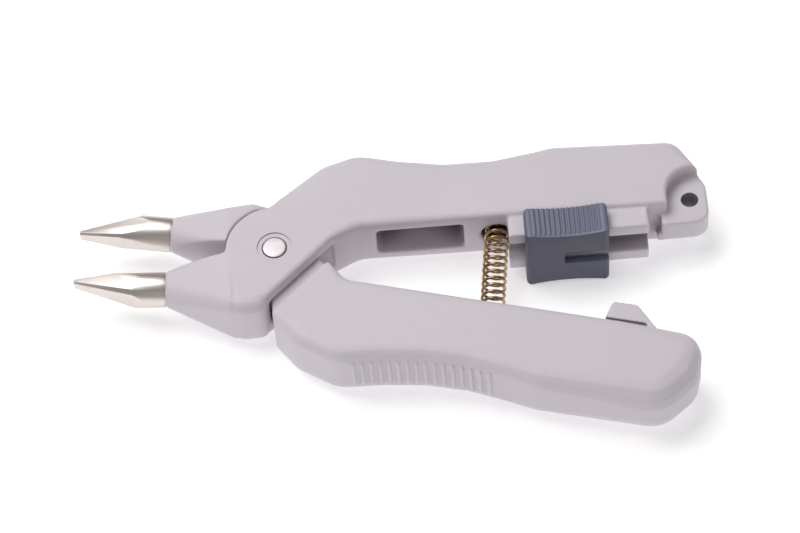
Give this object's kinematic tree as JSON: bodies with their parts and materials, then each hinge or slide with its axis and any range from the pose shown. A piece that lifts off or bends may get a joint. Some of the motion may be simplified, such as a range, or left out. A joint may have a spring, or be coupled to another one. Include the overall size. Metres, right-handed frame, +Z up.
{
  "type": "fine-nose pliers",
  "caption": "Small spring-opened fine-nose pliers with steel tips in moulded plastic levers, a slide lock on the handle and a lanyard eye.",
  "frame": {"origin": "on the pivot axis, in the plane of the levers' lower faces", "axes": "+X along the upper lever towards the lanyard eye, +Y from the lower lever towards the upper one, +Z up along the pivot axis"},
  "size_m": [0.134, 0.0665, 0.018],
  "materials": {
    "lever_plastic": "satin, fine moulded texture",
    "slider_plastic": "satin",
    "tip_steel": "ground",
    "pin_steel": "turned",
    "spring_wire": "drawn wire"
  },
  "bodies": {
    "upper_side": {"upper_lever": "lever_plastic", "lower_tip": "tip_steel", "pivot_pin": "pin_steel", "return_spring": "spring_wire"},
    "lower_side": {"lower_lever": "lever_plastic", "upper_tip": "tip_steel"},
    "slider": {"lock_slider": "slider_plastic"}
  },
  "joints": [
    {"name": "jaw_hinge", "type": "hinge", "parent": "upper_side", "child": "lower_side", "pos_m": [0, 0, 0.007], "axis": [0, 0, 1], "range_deg": [0, 15], "stiffness_Nm_per_rad": 0.6, "springref_deg": -8.59, "deforming": ["return_spring"]},
    {"name": "lock_slide", "type": "slide", "parent": "upper_side", "child": "slider", "axis": [1, 0, 0], "range_m": [0, 0.0066]}
  ]
}
